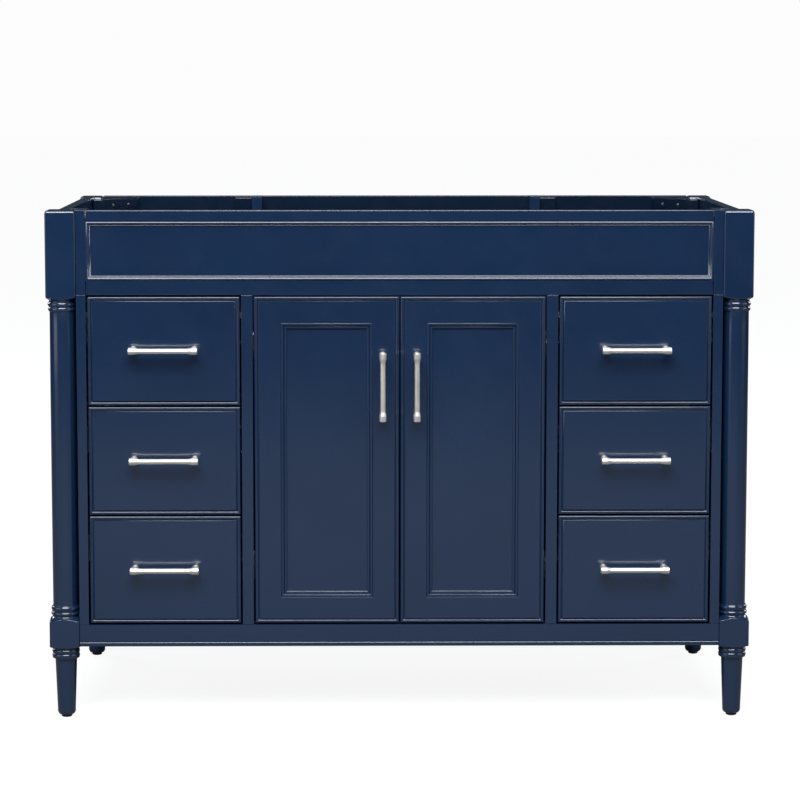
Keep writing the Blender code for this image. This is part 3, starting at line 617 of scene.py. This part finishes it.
ZINC = plated_finish("zinc_plate", (0.46, 0.47, 0.49), (0.58, 0.59, 0.60), (0.74, 0.74, 0.74))
BLACKED = plated_finish("blacked_steel", (0.035, 0.035, 0.038), (0.060, 0.060, 0.064), (0.20, 0.20, 0.20))
BRACE_END, BRACE_REACH = 0.018, 0.067
CLEAT_WIDTH, CLEAT_DEPTH, CLEAT_DROP = 0.031, 0.022, 0.110
for side_name, side in SIDES:
    node = f"corner_brace_{side_name}"
    low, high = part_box(node)
    inner_x = reach_x(f"rear_post_{side_name}")[0] - FIT
    front_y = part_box(f"rear_post_{side_name}")[0].y - FIT
    outer_x = reach_x(node)[1]
    slope_from = np.array((outer_x - BRACE_END, low.y))
    slope_to = np.array((inner_x - BRACE_REACH, high.y - BRACE_END))
    outline = [
        (outer_x, front_y), (outer_x, low.y), slope_from,
        slope_to, (inner_x - BRACE_REACH, high.y), (inner_x, high.y), (inner_x, front_y),
    ]
    block = mirrored(eased_board(outline, low.z, high.z, 2, ease=0.006, end_ease=0.0012,
                                 rounding=(0.002, 0.004, 0.007, 0.008, 0.007, 0.002, 0.002)), side)
    heads = []
    for share in (0.30, 0.72):
        x, y = slope_from + share * (slope_to - slope_from)
        centre = (side * x, y - 0.0002, (low.z + high.z) / 2 + 0.001)
        heads.append(skin(screw_head(centre, (1, -1.0), 0.0034, 0.0012)))
    # The brace block and the cleat below take the darker copy of the lacquer, which is painted shade for the
    # inside of the case.
    add_piece(f"brace_block_{side_name}", [skin(block, grain_axis=0)], SHADED_LACQUER, "case", [node])
    add_piece(f"brace_screws_{side_name}", heads, BLACKED, "case")

    beside_x = reach_x(f"partition_{side_name}")[1] + FIT
    back_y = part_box(f"partition_{side_name}")[1].y
    cleat_low = (beside_x, back_y - CLEAT_DEPTH, high.z - CLEAT_DROP)
    cleat_high = (beside_x + CLEAT_WIDTH, back_y, high.z + 0.001)
    cleat = skin(mirrored(board(cleat_low, cleat_high, 2), side))
    add_piece(f"upright_cleat_{side_name}", [cleat], SHADED_LACQUER, "case")
    screw_x, screw_y = side * (beside_x + CLEAT_WIDTH / 2), cleat_low[1] - 0.0002
    cleat_heads = [skin(screw_head((screw_x, screw_y, cleat_low[2] + up), (1, -1.0), 0.0040, 0.0016))
                   for up in (0.022, 0.075)]
    add_piece(f"cleat_screws_{side_name}", cleat_heads, BLACKED, "case")


# ----------------------------------------------------------
# Face frame. Two outer stiles returned behind the posts, each of a foot behind the bottom rail and
# two lengths butted at the apron's foot. The rail has a bead run along its lower edge, and a plain
# stop rail closes the top of each drawer bay.

rail_low, rail_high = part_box("bottom_rail")
rail_back = rail_high.y + FIT
BUTT = 0.0002
for side_name, side in SIDES:
    node = f"face_stile_{side_name}"
    low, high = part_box(node)
    near_x, far_x = reach_x(node)
    outer_x = reach_x(f"front_post_{side_name}")[0] - FIT
    post_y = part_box(f"front_post_{side_name}")[1].y + FIT
    behind_post = [(near_x, high.y), (far_x, high.y), (far_x, post_y), (outer_x, post_y)]
    outline = [(outer_x, low.y), (near_x, low.y), *behind_post]
    foot_outline = [(outer_x, rail_back), (near_x, rail_back), *behind_post]
    stretches = (
        (foot_outline, low.z, rail_high.z),
        (outline, rail_high.z + BUTT / 2, apron_low.z - BUTT / 2),
        (outline, apron_low.z + BUTT / 2, high.z),
    )
    lengths = [skin(mirrored(eased_board(*stretch, 2, ease=0.0004), side)) for stretch in stretches]
    add_piece(f"stile_{side_name}", lengths, LACQUER, "case", [node])


def arc_rows(centre, radii, degrees, steps=8):
    """An elliptic arc as (inset, depth) rows between two angles."""
    turn = np.radians(np.linspace(degrees[0], degrees[1], steps + 1))
    return np.stack((centre[0] + radii[0] * np.cos(turn), centre[1] + radii[1] * np.sin(turn)), axis=1)


RAIL_BEAD, RAIL_QUIRK = 0.0072, 0.0013
quirk_y = rail_low.y + RAIL_QUIRK
bead_radii = (RAIL_QUIRK - 0.0002, RAIL_BEAD / 2)
bead_arc = arc_rows((quirk_y, rail_low.z + RAIL_BEAD / 2), bead_radii, (90, 270), 12)
rail_cut = np.concatenate((
    np.array([(rail_high.y, rail_low.z), (rail_high.y, rail_high.z)]),
    np.array([(0.0008, 0.0), (0.0002, -0.0002), (0.0, -0.0008)]) + (rail_low.y, rail_high.z),
    np.array([(0.0, 0.0020), (0.0004, 0.0012)]) + (rail_low.y, rail_low.z + RAIL_BEAD),
    np.array([(0.0, 0.0008), (0.0, 0.0)]) + (quirk_y, rail_low.z + RAIL_BEAD),
    bead_arc[1:],
))


def swept(cut, start, end, axis, ease=0.0006):
    """A closed outline carried straight along an axis, with its end rows drawn towards its middle."""
    middle = cut.mean(axis=0)
    level = np.array((start, start + ease, end - ease, end))
    span = np.abs(cut - middle).max()
    share = 1 - np.array((ease, 0.0, 0.0, ease)) / span
    return lifted(middle + (cut - middle) * share[:, None, None], level, axis)


STOP_DEPTH, STOP_DROP, STOP_RISE = 0.0200, 0.0315, 0.0200
for side_name, side in SIDES:
    start = reach_x(f"partition_{side_name}")[1] + FIT
    end = reach_x(f"face_stile_{side_name}")[0] - FIT
    stop_low = (start, apron_high.y + 0.0012, apron_low.z - STOP_DROP)
    stop_high = (end, apron_high.y + STOP_DEPTH, apron_low.z + STOP_RISE)
    rail = skin(mirrored(board(stop_low, stop_high, 0), side), grain_axis=0)
    add_piece(f"stop_rail_{side_name}", [rail], LACQUER, "case")

add_piece("beaded_rail", [skin(swept(rail_cut, -outer_x, outer_x, 0), grain_axis=0)],
          LACQUER, "case", ["bottom_rail"])


# ----------------------------------------------------------
# Apron. The false front under the open top: one board with a bead frame mitred round a sunk flat
# field, tight between the stiles, its top edge rounded over.

def ring_rows(x0, x1, z0, z1, y):
    """Rectangles in X and Z with mitred corners, one to a row, each at its own Y."""
    sides = (np.atleast_1d(np.asarray(value, float)) for value in (x0, x1, z0, z1, y))
    x0, x1, z0, z1, y = np.broadcast_arrays(*sides)
    x = np.stack((x1, x0, x0, x1), axis=1)
    z = np.stack((z1, z1, z0, z0), axis=1)
    return np.stack((x, np.broadcast_to(y[:, None], x.shape), z), axis=-1)


def profile_rings(x0, x1, z0, z1, face_y, profile):
    """A mitred frame: each profile row (inset, depth) is a rectangle drawn in by its inset and set
    behind the face by its depth."""
    inset, depth = profile[:, 0], profile[:, 1]
    return ring_rows(x0 + inset, x1 - inset, z0 + inset, z1 - inset, face_y + depth)


APRON_TOP_FLAT, APRON_BOTTOM_FLAT, FLAT_DEPTH = 0.0185, 0.0245, 0.0010
EDGE_ROUNDING, BEAD_INSET = 0.0014, 0.0004
x0, x1, z0, z1 = apron_low.x, apron_high.x, apron_low.z, apron_high.z
face_y = apron_low.y
board_edge = arc_rows((EDGE_ROUNDING, EDGE_ROUNDING), (EDGE_ROUNDING, EDGE_ROUNDING), (180, 270), 5)
outer_rows = profile_rings(x0, x1, z0, z1, face_y + FLAT_DEPTH, board_edge)
frame_profile = np.concatenate((
    np.array([(0.0, FLAT_DEPTH), (0.0002, 0.0024), (0.0006, 0.0026)]),
    arc_rows((0.0032, 0.0024), (0.0026, 0.0024), (180, 360), 14),
    np.array([(0.0061, 0.0034), (0.0065, 0.0036)]),
    arc_rows((0.0077, 0.0040), (0.0011, 0.0010), (180, 330), 6),
    np.array([(0.0090, 0.0045), (0.0095, 0.0045)]),
))
bead_x, bead_z0, bead_z1 = x1 - BEAD_INSET, z0 + APRON_BOTTOM_FLAT, z1 - APRON_TOP_FLAT
bead_rows = profile_rings(x0 + BEAD_INSET, bead_x, bead_z0, bead_z1, face_y, frame_profile)
bead_rows[0] = ring_rows(x0 + BEAD_INSET, bead_x, bead_z0 - 0.0004, bead_z1 + 0.0004, face_y + FLAT_DEPTH)[0]
apron = np.concatenate((ring_rows(x0, x1, z0, z1, apron_high.y), outer_rows, bead_rows))
add_piece("beaded_apron", [skin(apron, grain_axis=0)], LACQUER, "case", ["apron_board"])


# ----------------------------------------------------------
# Drawer slides. Zinc-plated steel channel: an outer member screwed to the case and bent round to
# the back panel, and an inner member on the drawer that runs inside it on a strip of balls.

SHEET = 0.0011


def channel_cut(web_x, toward, depth, z0, z1):
    """A folded channel's outline in X and Z: web, two flanges and their turned-in lips."""
    out_x, in_x, lip_x = web_x, web_x + toward * SHEET, web_x + toward * depth
    lip, lip_in_x = 0.0042, lip_x - toward * SHEET
    return np.array([
        (out_x, z0), (lip_x, z0), (lip_x, z0 + lip), (lip_in_x, z0 + lip),
        (lip_in_x, z0 + SHEET), (in_x, z0 + SHEET), (in_x, z1 - SHEET),
        (lip_in_x, z1 - SHEET), (lip_in_x, z1 - lip), (lip_x, z1 - lip), (lip_x, z1), (out_x, z1),
    ])


def channel(web_x, toward, depth, z0, z1, y0, y1):
    """A slide member: its channel carried along Y with softened folds."""
    return eased_board(channel_cut(web_x, toward, depth, z0, z1), y0, y1, 1,
                       ease=0.0002, rounding=0.0004, steps=2)


def ball_strip(x, z, y0, y1, count):
    """The ball retainer: a flat strip whose width swells round every ball, as a sine along it."""
    y = np.linspace(y0, y1, 8 * count + 1)
    swell = 0.0012 + 0.0005 * np.cos(2 * np.pi * count * (y - y0) / (y1 - y0))
    turn = np.linspace(0, 2 * np.pi, 10, endpoint=False)
    ring_x = x + swell[:, None] * np.cos(turn)
    ring_z = z + swell[:, None] * np.sin(turn)
    return np.stack((ring_x, np.broadcast_to(y[:, None], ring_x.shape), ring_z), axis=-1)


DRAWERS = [(f"{side_name}_{row}", side, row) for side_name, side in SIDES for row in (1, 2, 3)]
CHANNEL_DEPTH, RUNNER_DEPTH, BALL_DEPTH = 0.0098, 0.0075, 0.0052
TAB_WIDTH, TAB_THICKNESS, FRONT_GAP = 0.020, 0.0020, 0.007
for label, side, row in DRAWERS:
    box_low, box_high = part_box(f"drawer_box_{label}")
    moving = []
    for end_name, toward in (("inner", side), ("outer", -side)):
        node = f"drawer_slide_{label}_{end_name}"
        low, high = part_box(node)
        web_x, box_x = (low.x, box_low.x) if toward > 0 else (high.x, box_high.x)
        member_end = high.y - TAB_THICKNESS - 0.0002
        member = channel(web_x, toward, CHANNEL_DEPTH, low.z, high.z, low.y + FRONT_GAP, member_end)
        tab_low = (web_x, high.y - TAB_THICKNESS, low.z)
        tab_high = (web_x + toward * TAB_WIDTH, high.y, high.z)
        tab = skin(board(tab_low, tab_high, 1, ease=0.0003, steps=2))
        head_x, middle_z = web_x + toward * SHEET, (low.z + high.z) / 2
        heads = [skin(screw_head((head_x, low.y + back, middle_z), (0, toward), 0.0035, 0.0010))
                 for back in (0.035, 0.26)]
        add_piece(f"slide_channel_{label}_{end_name}", [skin(member, grain_axis=1), tab, *heads],
                  ZINC, "case", [node])
        runner = channel(box_x - toward * 0.0002, -toward, RUNNER_DEPTH, low.z + 0.0062, high.z - 0.0062,
                         box_low.y + 0.004, box_high.y + 0.030)
        moving.append(skin(runner, grain_axis=1))
        for z in (low.z + 0.0036, high.z - 0.0036):
            balls = ball_strip(web_x + toward * BALL_DEPTH, z, box_low.y + 0.14, box_high.y + 0.020, 24)
            moving.append(skin(balls, grain_axis=1))
    add_piece(f"slide_runners_{label}", moving, ZINC, f"drawer_{label}")


# ----------------------------------------------------------
# Drawer boxes. Solid birch sides, back and sub-front, dovetailed at the corners, round a thin
# bottom let into a groove, and finished in clear lacquer.

def birch_finish():
    """Clear-finished birch: long soft rings and fine fibre lines along the grain, paler at edges."""
    tree, shader, material = new_finish("clear_birch")
    rings = placed(tree, MOTTLE, Scale=26.0, Detail=5.0, Stretch=14.0)["Value"]
    fibre = placed(tree, MOTTLE, Scale=420.0, Detail=3.0, Stretch=30.0)
    flame = placed(tree, MOTTLE, Scale=9.0, Detail=2.0, Stretch=2.5)["Value"]
    edge = placed(tree, EDGE, Radius=0.0008, Gain=1.0)["Mask"]
    satin = placed(tree, MOTTLE, Scale=120.0, Detail=2.0, Stretch=8.0, Low=0.38, High=0.52)["Value"]
    ground = colour_mix(tree, rings, (0.60, 0.43, 0.26), (0.72, 0.56, 0.37))
    shaded = colour_mix(tree, flame, ground, (0.66, 0.49, 0.30))
    lined_by = math_node(tree, "MULTIPLY", fibre["Value"], 0.35)
    lined = colour_mix(tree, lined_by, shaded, (0.50, 0.34, 0.19))
    edge_tinted = colour_mix(tree, edge, lined, (0.76, 0.62, 0.44))
    feed(tree, shader, edge_tinted, satin, fibre["Raw"], 0.20, 0.0002)
    return material


BIRCH = birch_finish()
WALL, PANEL, GROOVE_UP, GROOVE_DEEP = 0.012, 0.005, 0.003, 0.001
TAILS, TAIL_SLOPE, JOINT = 3, 0.0014, 0.00012


def tail_edges(z0, z1):
    """Where each dovetail starts and ends up the corner: even tails between narrower pins."""
    pitch = (z1 - z0) / TAILS
    starts = z0 + pitch * (np.arange(TAILS) + 0.16)
    return np.stack((starts, starts + pitch * 0.68), axis=1)


def side_outline(y0, y1, z0, z1):
    """A drawer side in Y and Z: tails that widen outwards at both ends."""
    tails = tail_edges(z0, z1)
    rear = [point for low_z, high_z in tails for point in (
        (y1 - WALL, low_z + TAIL_SLOPE), (y1, low_z), (y1, high_z), (y1 - WALL, high_z - TAIL_SLOPE))]
    front = [point for low_z, high_z in tails[::-1] for point in (
        (y0 + WALL, high_z - TAIL_SLOPE), (y0, high_z), (y0, low_z), (y0 + WALL, low_z + TAIL_SLOPE))]
    return [(y0 + WALL, z0), (y1 - WALL, z0), *rear, (y1 - WALL, z1), (y0 + WALL, z1), *front]


def pin_outlines(y_face, y_inner, z0, z1):
    """The pins between the tails at one end of a side, narrowing outwards, each a small wedge."""
    tails = tail_edges(z0, z1)
    lows = np.concatenate(([z0], tails[:, 1])) + JOINT
    highs = np.concatenate((tails[:, 0], [z1])) - JOINT
    first, last = np.arange(len(lows)) == 0, np.arange(len(lows)) == len(lows) - 1
    inner_lows = lows - np.where(first, 0, TAIL_SLOPE)
    inner_highs = highs + np.where(last, 0, TAIL_SLOPE)
    return [[(y_face, a), (y_inner, c), (y_inner, d), (y_face, b)]
            for a, b, c, d in zip(lows, highs, inner_lows, inner_highs)]


for label, side, row in DRAWERS:
    low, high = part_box(f"drawer_box_{label}")
    seed = 0.7 * row + 2.3 * (side > 0)
    skins = []
    for number, (start, end) in enumerate(((low.x, low.x + WALL), (high.x - WALL, high.x))):
        outline = side_outline(low.y, high.y, low.z, high.z)
        wall = eased_board(outline, start, end, 0, ease=0.0004, rounding=0.00045, steps=2)
        skins.append(skin(wall, grain_axis=1, shift=seed + 5.1 * number))
        for face_y, inner_y in ((low.y, low.y + WALL), (high.y, high.y - WALL)):
            for pin in pin_outlines(face_y, inner_y, low.z, high.z):
                wedge = eased_board(pin, start + 0.0001, end, 0, ease=0.0002, steps=2)
                skins.append(skin(wedge, grain_axis=0, shift=seed + 9.0))
    for number, (start, end) in enumerate(((low.y, low.y + WALL), (high.y - WALL, high.y))):
        wall_low = (low.x + WALL + JOINT, start, low.z)
        wall_high = (high.x - WALL - JOINT, end, high.z)
        wall = board(wall_low, wall_high, 0, ease=0.0004, rounding=0.0012, steps=3)
        skins.append(skin(wall, grain_axis=0, shift=seed + 3.7 * (number + 1)))
    inside = WALL - GROOVE_DEEP
    floor_low = (low.x + inside, low.y + inside, low.z + GROOVE_UP)
    floor_high = (high.x - inside, high.y - inside, low.z + GROOVE_UP + PANEL)
    bottom = board(floor_low, floor_high, 2, ease=0.0003, steps=2)
    skins.append(skin(bottom, grain_axis=0, shift=seed + 7.9))
    add_piece(f"dovetailed_box_{label}", skins, BIRCH, f"drawer_{label}", [f"drawer_box_{label}"])


# ----------------------------------------------------------
# Drawer fronts. Flat lacquered boards with a bead and quirk run round the edge, screwed to the
# sub-front from inside the box.

def edge_profile(thickness):
    """A front's edge as (inset, depth), from its back to its flat field: eased back edge, half
    round bead, sunk quirk and the field's softened edge."""
    back = arc_rows((0.0010, thickness - 0.0010), (0.0010, 0.0010), (90, 180), 4)
    bead_rows = arc_rows((0.0028, 0.0024), (0.0028, 0.0024), (180, 360), 14)
    quirk = np.array([(0.0060, 0.0034), (0.0068, 0.0035), (0.0073, 0.0030)])
    field = arc_rows((0.0084, 0.0010), (0.0010, 0.0010), (180, 270), 5)
    return np.concatenate((back, bead_rows, quirk, field))


for label, side, row in DRAWERS:
    low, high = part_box(f"drawer_front_{label}")
    rings = profile_rings(low.x, high.x, low.z, high.z, low.y, edge_profile(high.y - low.y))
    add_piece(f"beaded_front_{label}", [skin(rings, grain_axis=0, shift=0.31 * row)],
              LACQUER, f"drawer_{label}", [f"drawer_front_{label}"])


# ----------------------------------------------------------
# Doors. A mitred frame with the drawers' edge bead outside and a double bead stepping down to
# the panel inside, and a thin flat panel held in its rebate.

MOULDING, PANEL_REBATE = 0.0102, 0.008


def door_profile(thickness, opening, rebate, panel_depth):
    """A door frame's whole cut as a closed loop of (inset, depth): edge bead, flat, quirk, two
    stepped beads, fall to the panel, rebate and back."""
    quirk = np.array([(-0.0006, 0.0), (-0.0001, 0.0004), (0.0002, 0.0013)])
    upper = arc_rows((0.0024, 0.0015), (0.0021, 0.0014), (180, 360), 10)
    step = np.array([(0.0046, 0.0034), (0.0050, 0.0038)])
    lower = arc_rows((0.0074, 0.0044), (0.0023, 0.0015), (180, 360), 10)
    moulding = np.concatenate((quirk, upper, step, lower, [(0.0099, 0.0060)])) + (opening - MOULDING, 0.0)
    fall = np.array([(opening, panel_depth - 0.0004), (opening, panel_depth)])
    inside = np.array([(rebate, panel_depth), (rebate, thickness)])
    return np.concatenate((edge_profile(thickness), moulding, fall, inside))


for side_name, side in SIDES:
    low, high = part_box(f"door_frame_{side_name}")
    panel_low, panel_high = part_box(f"door_panel_{side_name}")
    rebate = panel_low.x - low.x - FIT
    opening = rebate + PANEL_REBATE
    profile = door_profile(high.y - low.y, opening, rebate, panel_low.y - low.y - FIT)
    rings = profile_rings(low.x, high.x, low.z, high.z, low.y, profile)
    body = f"door_{side_name}"
    add_piece(f"moulded_door_{side_name}", [skin(rings, closed_rows=True)],
              LACQUER, body, [f"door_frame_{side_name}"])
    panel = skin(board(panel_low, panel_high, 1, ease=0.0004))
    add_piece(f"sunk_panel_{side_name}", [panel], LACQUER, body, [f"door_panel_{side_name}"])


# ----------------------------------------------------------
# Concealed hinges. A zinc mounting plate screwed to the partition carries the cranked arm, whose
# nose reaches round the door's edge to the cup set in the back of the door.

HINGE_ARM_HALF, PLATE_THICKNESS = 0.0070, 0.0022
CUP_FLANGE = np.array([
    (-0.0120, -0.0300), (0.0080, -0.0300), (0.0165, -0.0120), (0.0165, 0.0120),
    (0.0080, 0.0300), (-0.0120, 0.0300), (-0.0175, 0.0120), (-0.0175, -0.0120),
])
CUP_DISH = np.array([
    (0.0009, 0.0152), (0.0014, 0.0150), (0.0014, 0.0135), (0.0004, 0.0128), (0.0003, 0.0020),
])
for side_name, side in SIDES:
    door_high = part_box(f"door_frame_{side_name}")[1]
    joint = next(item for item in frame["joints"] if item["name"] == f"door_{side_name}_hinge")
    pivot_x, pivot_y = abs(joint["pos_m"][0]), joint["pos_m"][1]
    cups = []
    for end_name in ("lower", "upper"):
        node = f"door_hinge_{side_name}_{end_name}"
        low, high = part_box(node)
        middle_z = (low.z + high.z) / 2
        arm_x, wall_x = reach_x(node)
        arm_path = [
            (arm_x, high.y), (arm_x, low.y + 0.006), (arm_x - 0.004, low.y + 0.001),
            (pivot_x - 0.0105, low.y - 0.0020), (pivot_x - 0.0105, pivot_y + 0.0130),
            (pivot_x - 0.0160, pivot_y + 0.0118), (pivot_x - 0.0160, low.y + 0.0020),
            (arm_x - 0.007, low.y + 0.0060), (arm_x - 0.0035, low.y + 0.0100),
            (arm_x - 0.0035, high.y - 0.002),
        ]
        arm = eased_board(arm_path, middle_z - HINGE_ARM_HALF, middle_z + HINGE_ARM_HALF, 2,
                          ease=0.0006, rounding=0.0010, steps=3)
        plate_x = wall_x - PLATE_THICKNESS
        base = board((arm_x, low.y + 0.008, middle_z - 0.0075), (plate_x, high.y, middle_z + 0.0075), 2,
                     ease=0.0008)
        plate_y = (low.y + 0.020, low.y + 0.046)
        plate = board((plate_x, plate_y[0], low.z), (wall_x, plate_y[1], high.z), 0,
                      ease=0.0004, rounding=0.006, steps=6)
        heads = [screw_head((plate_x, sum(plate_y) / 2, z), (0, -1.0), 0.0042, 0.0012)
                 for z in (low.z + 0.007, high.z - 0.007)]
        heads.append(screw_head((arm_x - 0.0035, high.y - 0.014, middle_z), (0, -1.0), 0.0032, 0.0010))
        skins = [skin(mirrored(part, side)) for part in (arm, base, plate, *heads)]
        add_piece(f"hinge_arm_{side_name}_{end_name}", skins, ZINC, "case", [node])

        cup_x = pivot_x - 0.0025
        back_y = door_high.y
        flange = eased_board(CUP_FLANGE + (cup_x, middle_z), back_y + 0.0001, back_y + 0.0011, 1,
                             ease=0.0003, rounding=0.005, steps=5)
        dish_rings = turned_rings(CUP_DISH, 1, (cup_x, back_y, middle_z), 40)
        cup_heads = [screw_head((cup_x - 0.002, back_y + 0.0011, z), (1, 1.0), 0.0038, 0.0010)
                     for z in (middle_z - 0.0240, middle_z + 0.0240)]
        cups += [skin(mirrored(part, side)) for part in (flange, dish_rings, *cup_heads)]
    add_piece(f"hinge_cups_{side_name}", cups, ZINC, f"door_{side_name}")


# ----------------------------------------------------------
# Bar pulls. Turned solid bars in brushed satin nickel, flared to a short straight end, on two
# necked posts that are screwed through the front from behind.

NICKEL = metal_finish(
    "brushed_nickel", ((0.84, 0.81, 0.75), (0.91, 0.88, 0.83), (0.96, 0.94, 0.90)),
    spangle={"Scale": 60.0, "Detail": 3.0},
    satin={"Scale": 1400.0, "Detail": 2.0, "Stretch": 60.0, "Low": 0.36, "High": 0.50},
    edge={"Radius": 0.0008, "Gain": 1.6}, strength=0.12, distance=0.0001,
)
PULL_SPACING, BAR_END_R = 0.105, 0.0063


def bar_profile(half):
    """A bar as (place, radius) from one end to the other: domed end, straight end, cosine flare
    down to the slim middle, and the same again."""
    dome = np.linspace(0, np.pi / 2, 8)
    end_r, slim_r, straight, flare = BAR_END_R, 0.0047, 0.0090, 0.0105
    round_r, tip_r = 0.0009, 0.0004
    shoulder_r = end_r - round_r
    cap_r = tip_r + (shoulder_r - tip_r) * np.cos(dome)
    cap = np.stack((half - round_r * (1 - np.sin(dome)), cap_r), axis=1)
    edge = np.stack((half - round_r * (2 - np.cos(dome)), shoulder_r + round_r * np.sin(dome)), axis=1)
    share = np.linspace(0, 1, 16)
    fall = 0.5 + 0.5 * np.cos(np.pi * share)
    flared = np.stack((half - straight - flare * share, slim_r + (end_r - slim_r) * fall), axis=1)
    right = np.concatenate((cap[::-1], edge, flared, [(half * 0.4, slim_r)]))
    left = right[::-1] * np.array((-1.0, 1.0))
    return np.concatenate((right, left))


def pull_post_profile(base_y, bar_y):
    """A pull's post as (y, radius), from its base on the front out into the bar."""
    cove = np.linspace(0, np.pi / 2, 8)
    foot = np.array([(0.0006, 0.0056), (0.0, 0.0059), (-0.0004, 0.0062), (-0.0044, 0.0062)]) + (base_y, 0.0)
    neck = np.stack((base_y - 0.0049 - 0.0040 * np.sin(cove), 0.0044 + 0.0015 * (1 - np.sin(cove))), axis=1)
    rise = np.array([(base_y - 0.014, 0.0044), (bar_y + 0.0080, 0.0044), (bar_y + 0.0050, 0.0046),
                     (bar_y, 0.0046)])
    return np.concatenate((foot, neck, rise))


def pull_ends(middle, axis):
    """The two places along a pull, either side of its middle, where its posts stand."""
    ends = np.array((middle, middle), float)
    ends[:, axis] += np.array((-0.5, 0.5)) * PULL_SPACING
    return ends


pulls = [("drawer", label, 0) for label, side, row in DRAWERS] + [("door", name, 2) for name, side in SIDES]
for kind, label, axis in pulls:
    node, body = f"{kind}_pull_{label}", f"{kind}_{label}"
    low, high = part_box(node)
    middle = np.array(((low.x + high.x) / 2, 0.0, (low.z + high.z) / 2))
    bar_y = low.y + BAR_END_R
    bar = turned_rings(bar_profile((high[axis] - low[axis]) / 2), axis, middle + (0.0, bar_y, 0.0), 40)
    skins = [skin(bar, grain_axis=axis)]
    for centre in pull_ends(middle, axis):
        skins.append(skin(turned_rings(pull_post_profile(high.y, bar_y), 1, centre, 32), grain_axis=1))
    add_piece(f"turned_{node}", skins, NICKEL, body, [node], sharp_angle=50.0)
    if kind == "drawer":
        middle[1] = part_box(f"drawer_box_{label}")[0].y + WALL
    else:
        middle[1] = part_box(f"door_frame_{label}")[1].y
    heads = [skin(screw_head(place, (1, 1.0), 0.0042, 0.0022)) for place in pull_ends(middle, axis)]
    add_piece(f"pull_screws_{body}", heads, ZINC, body)
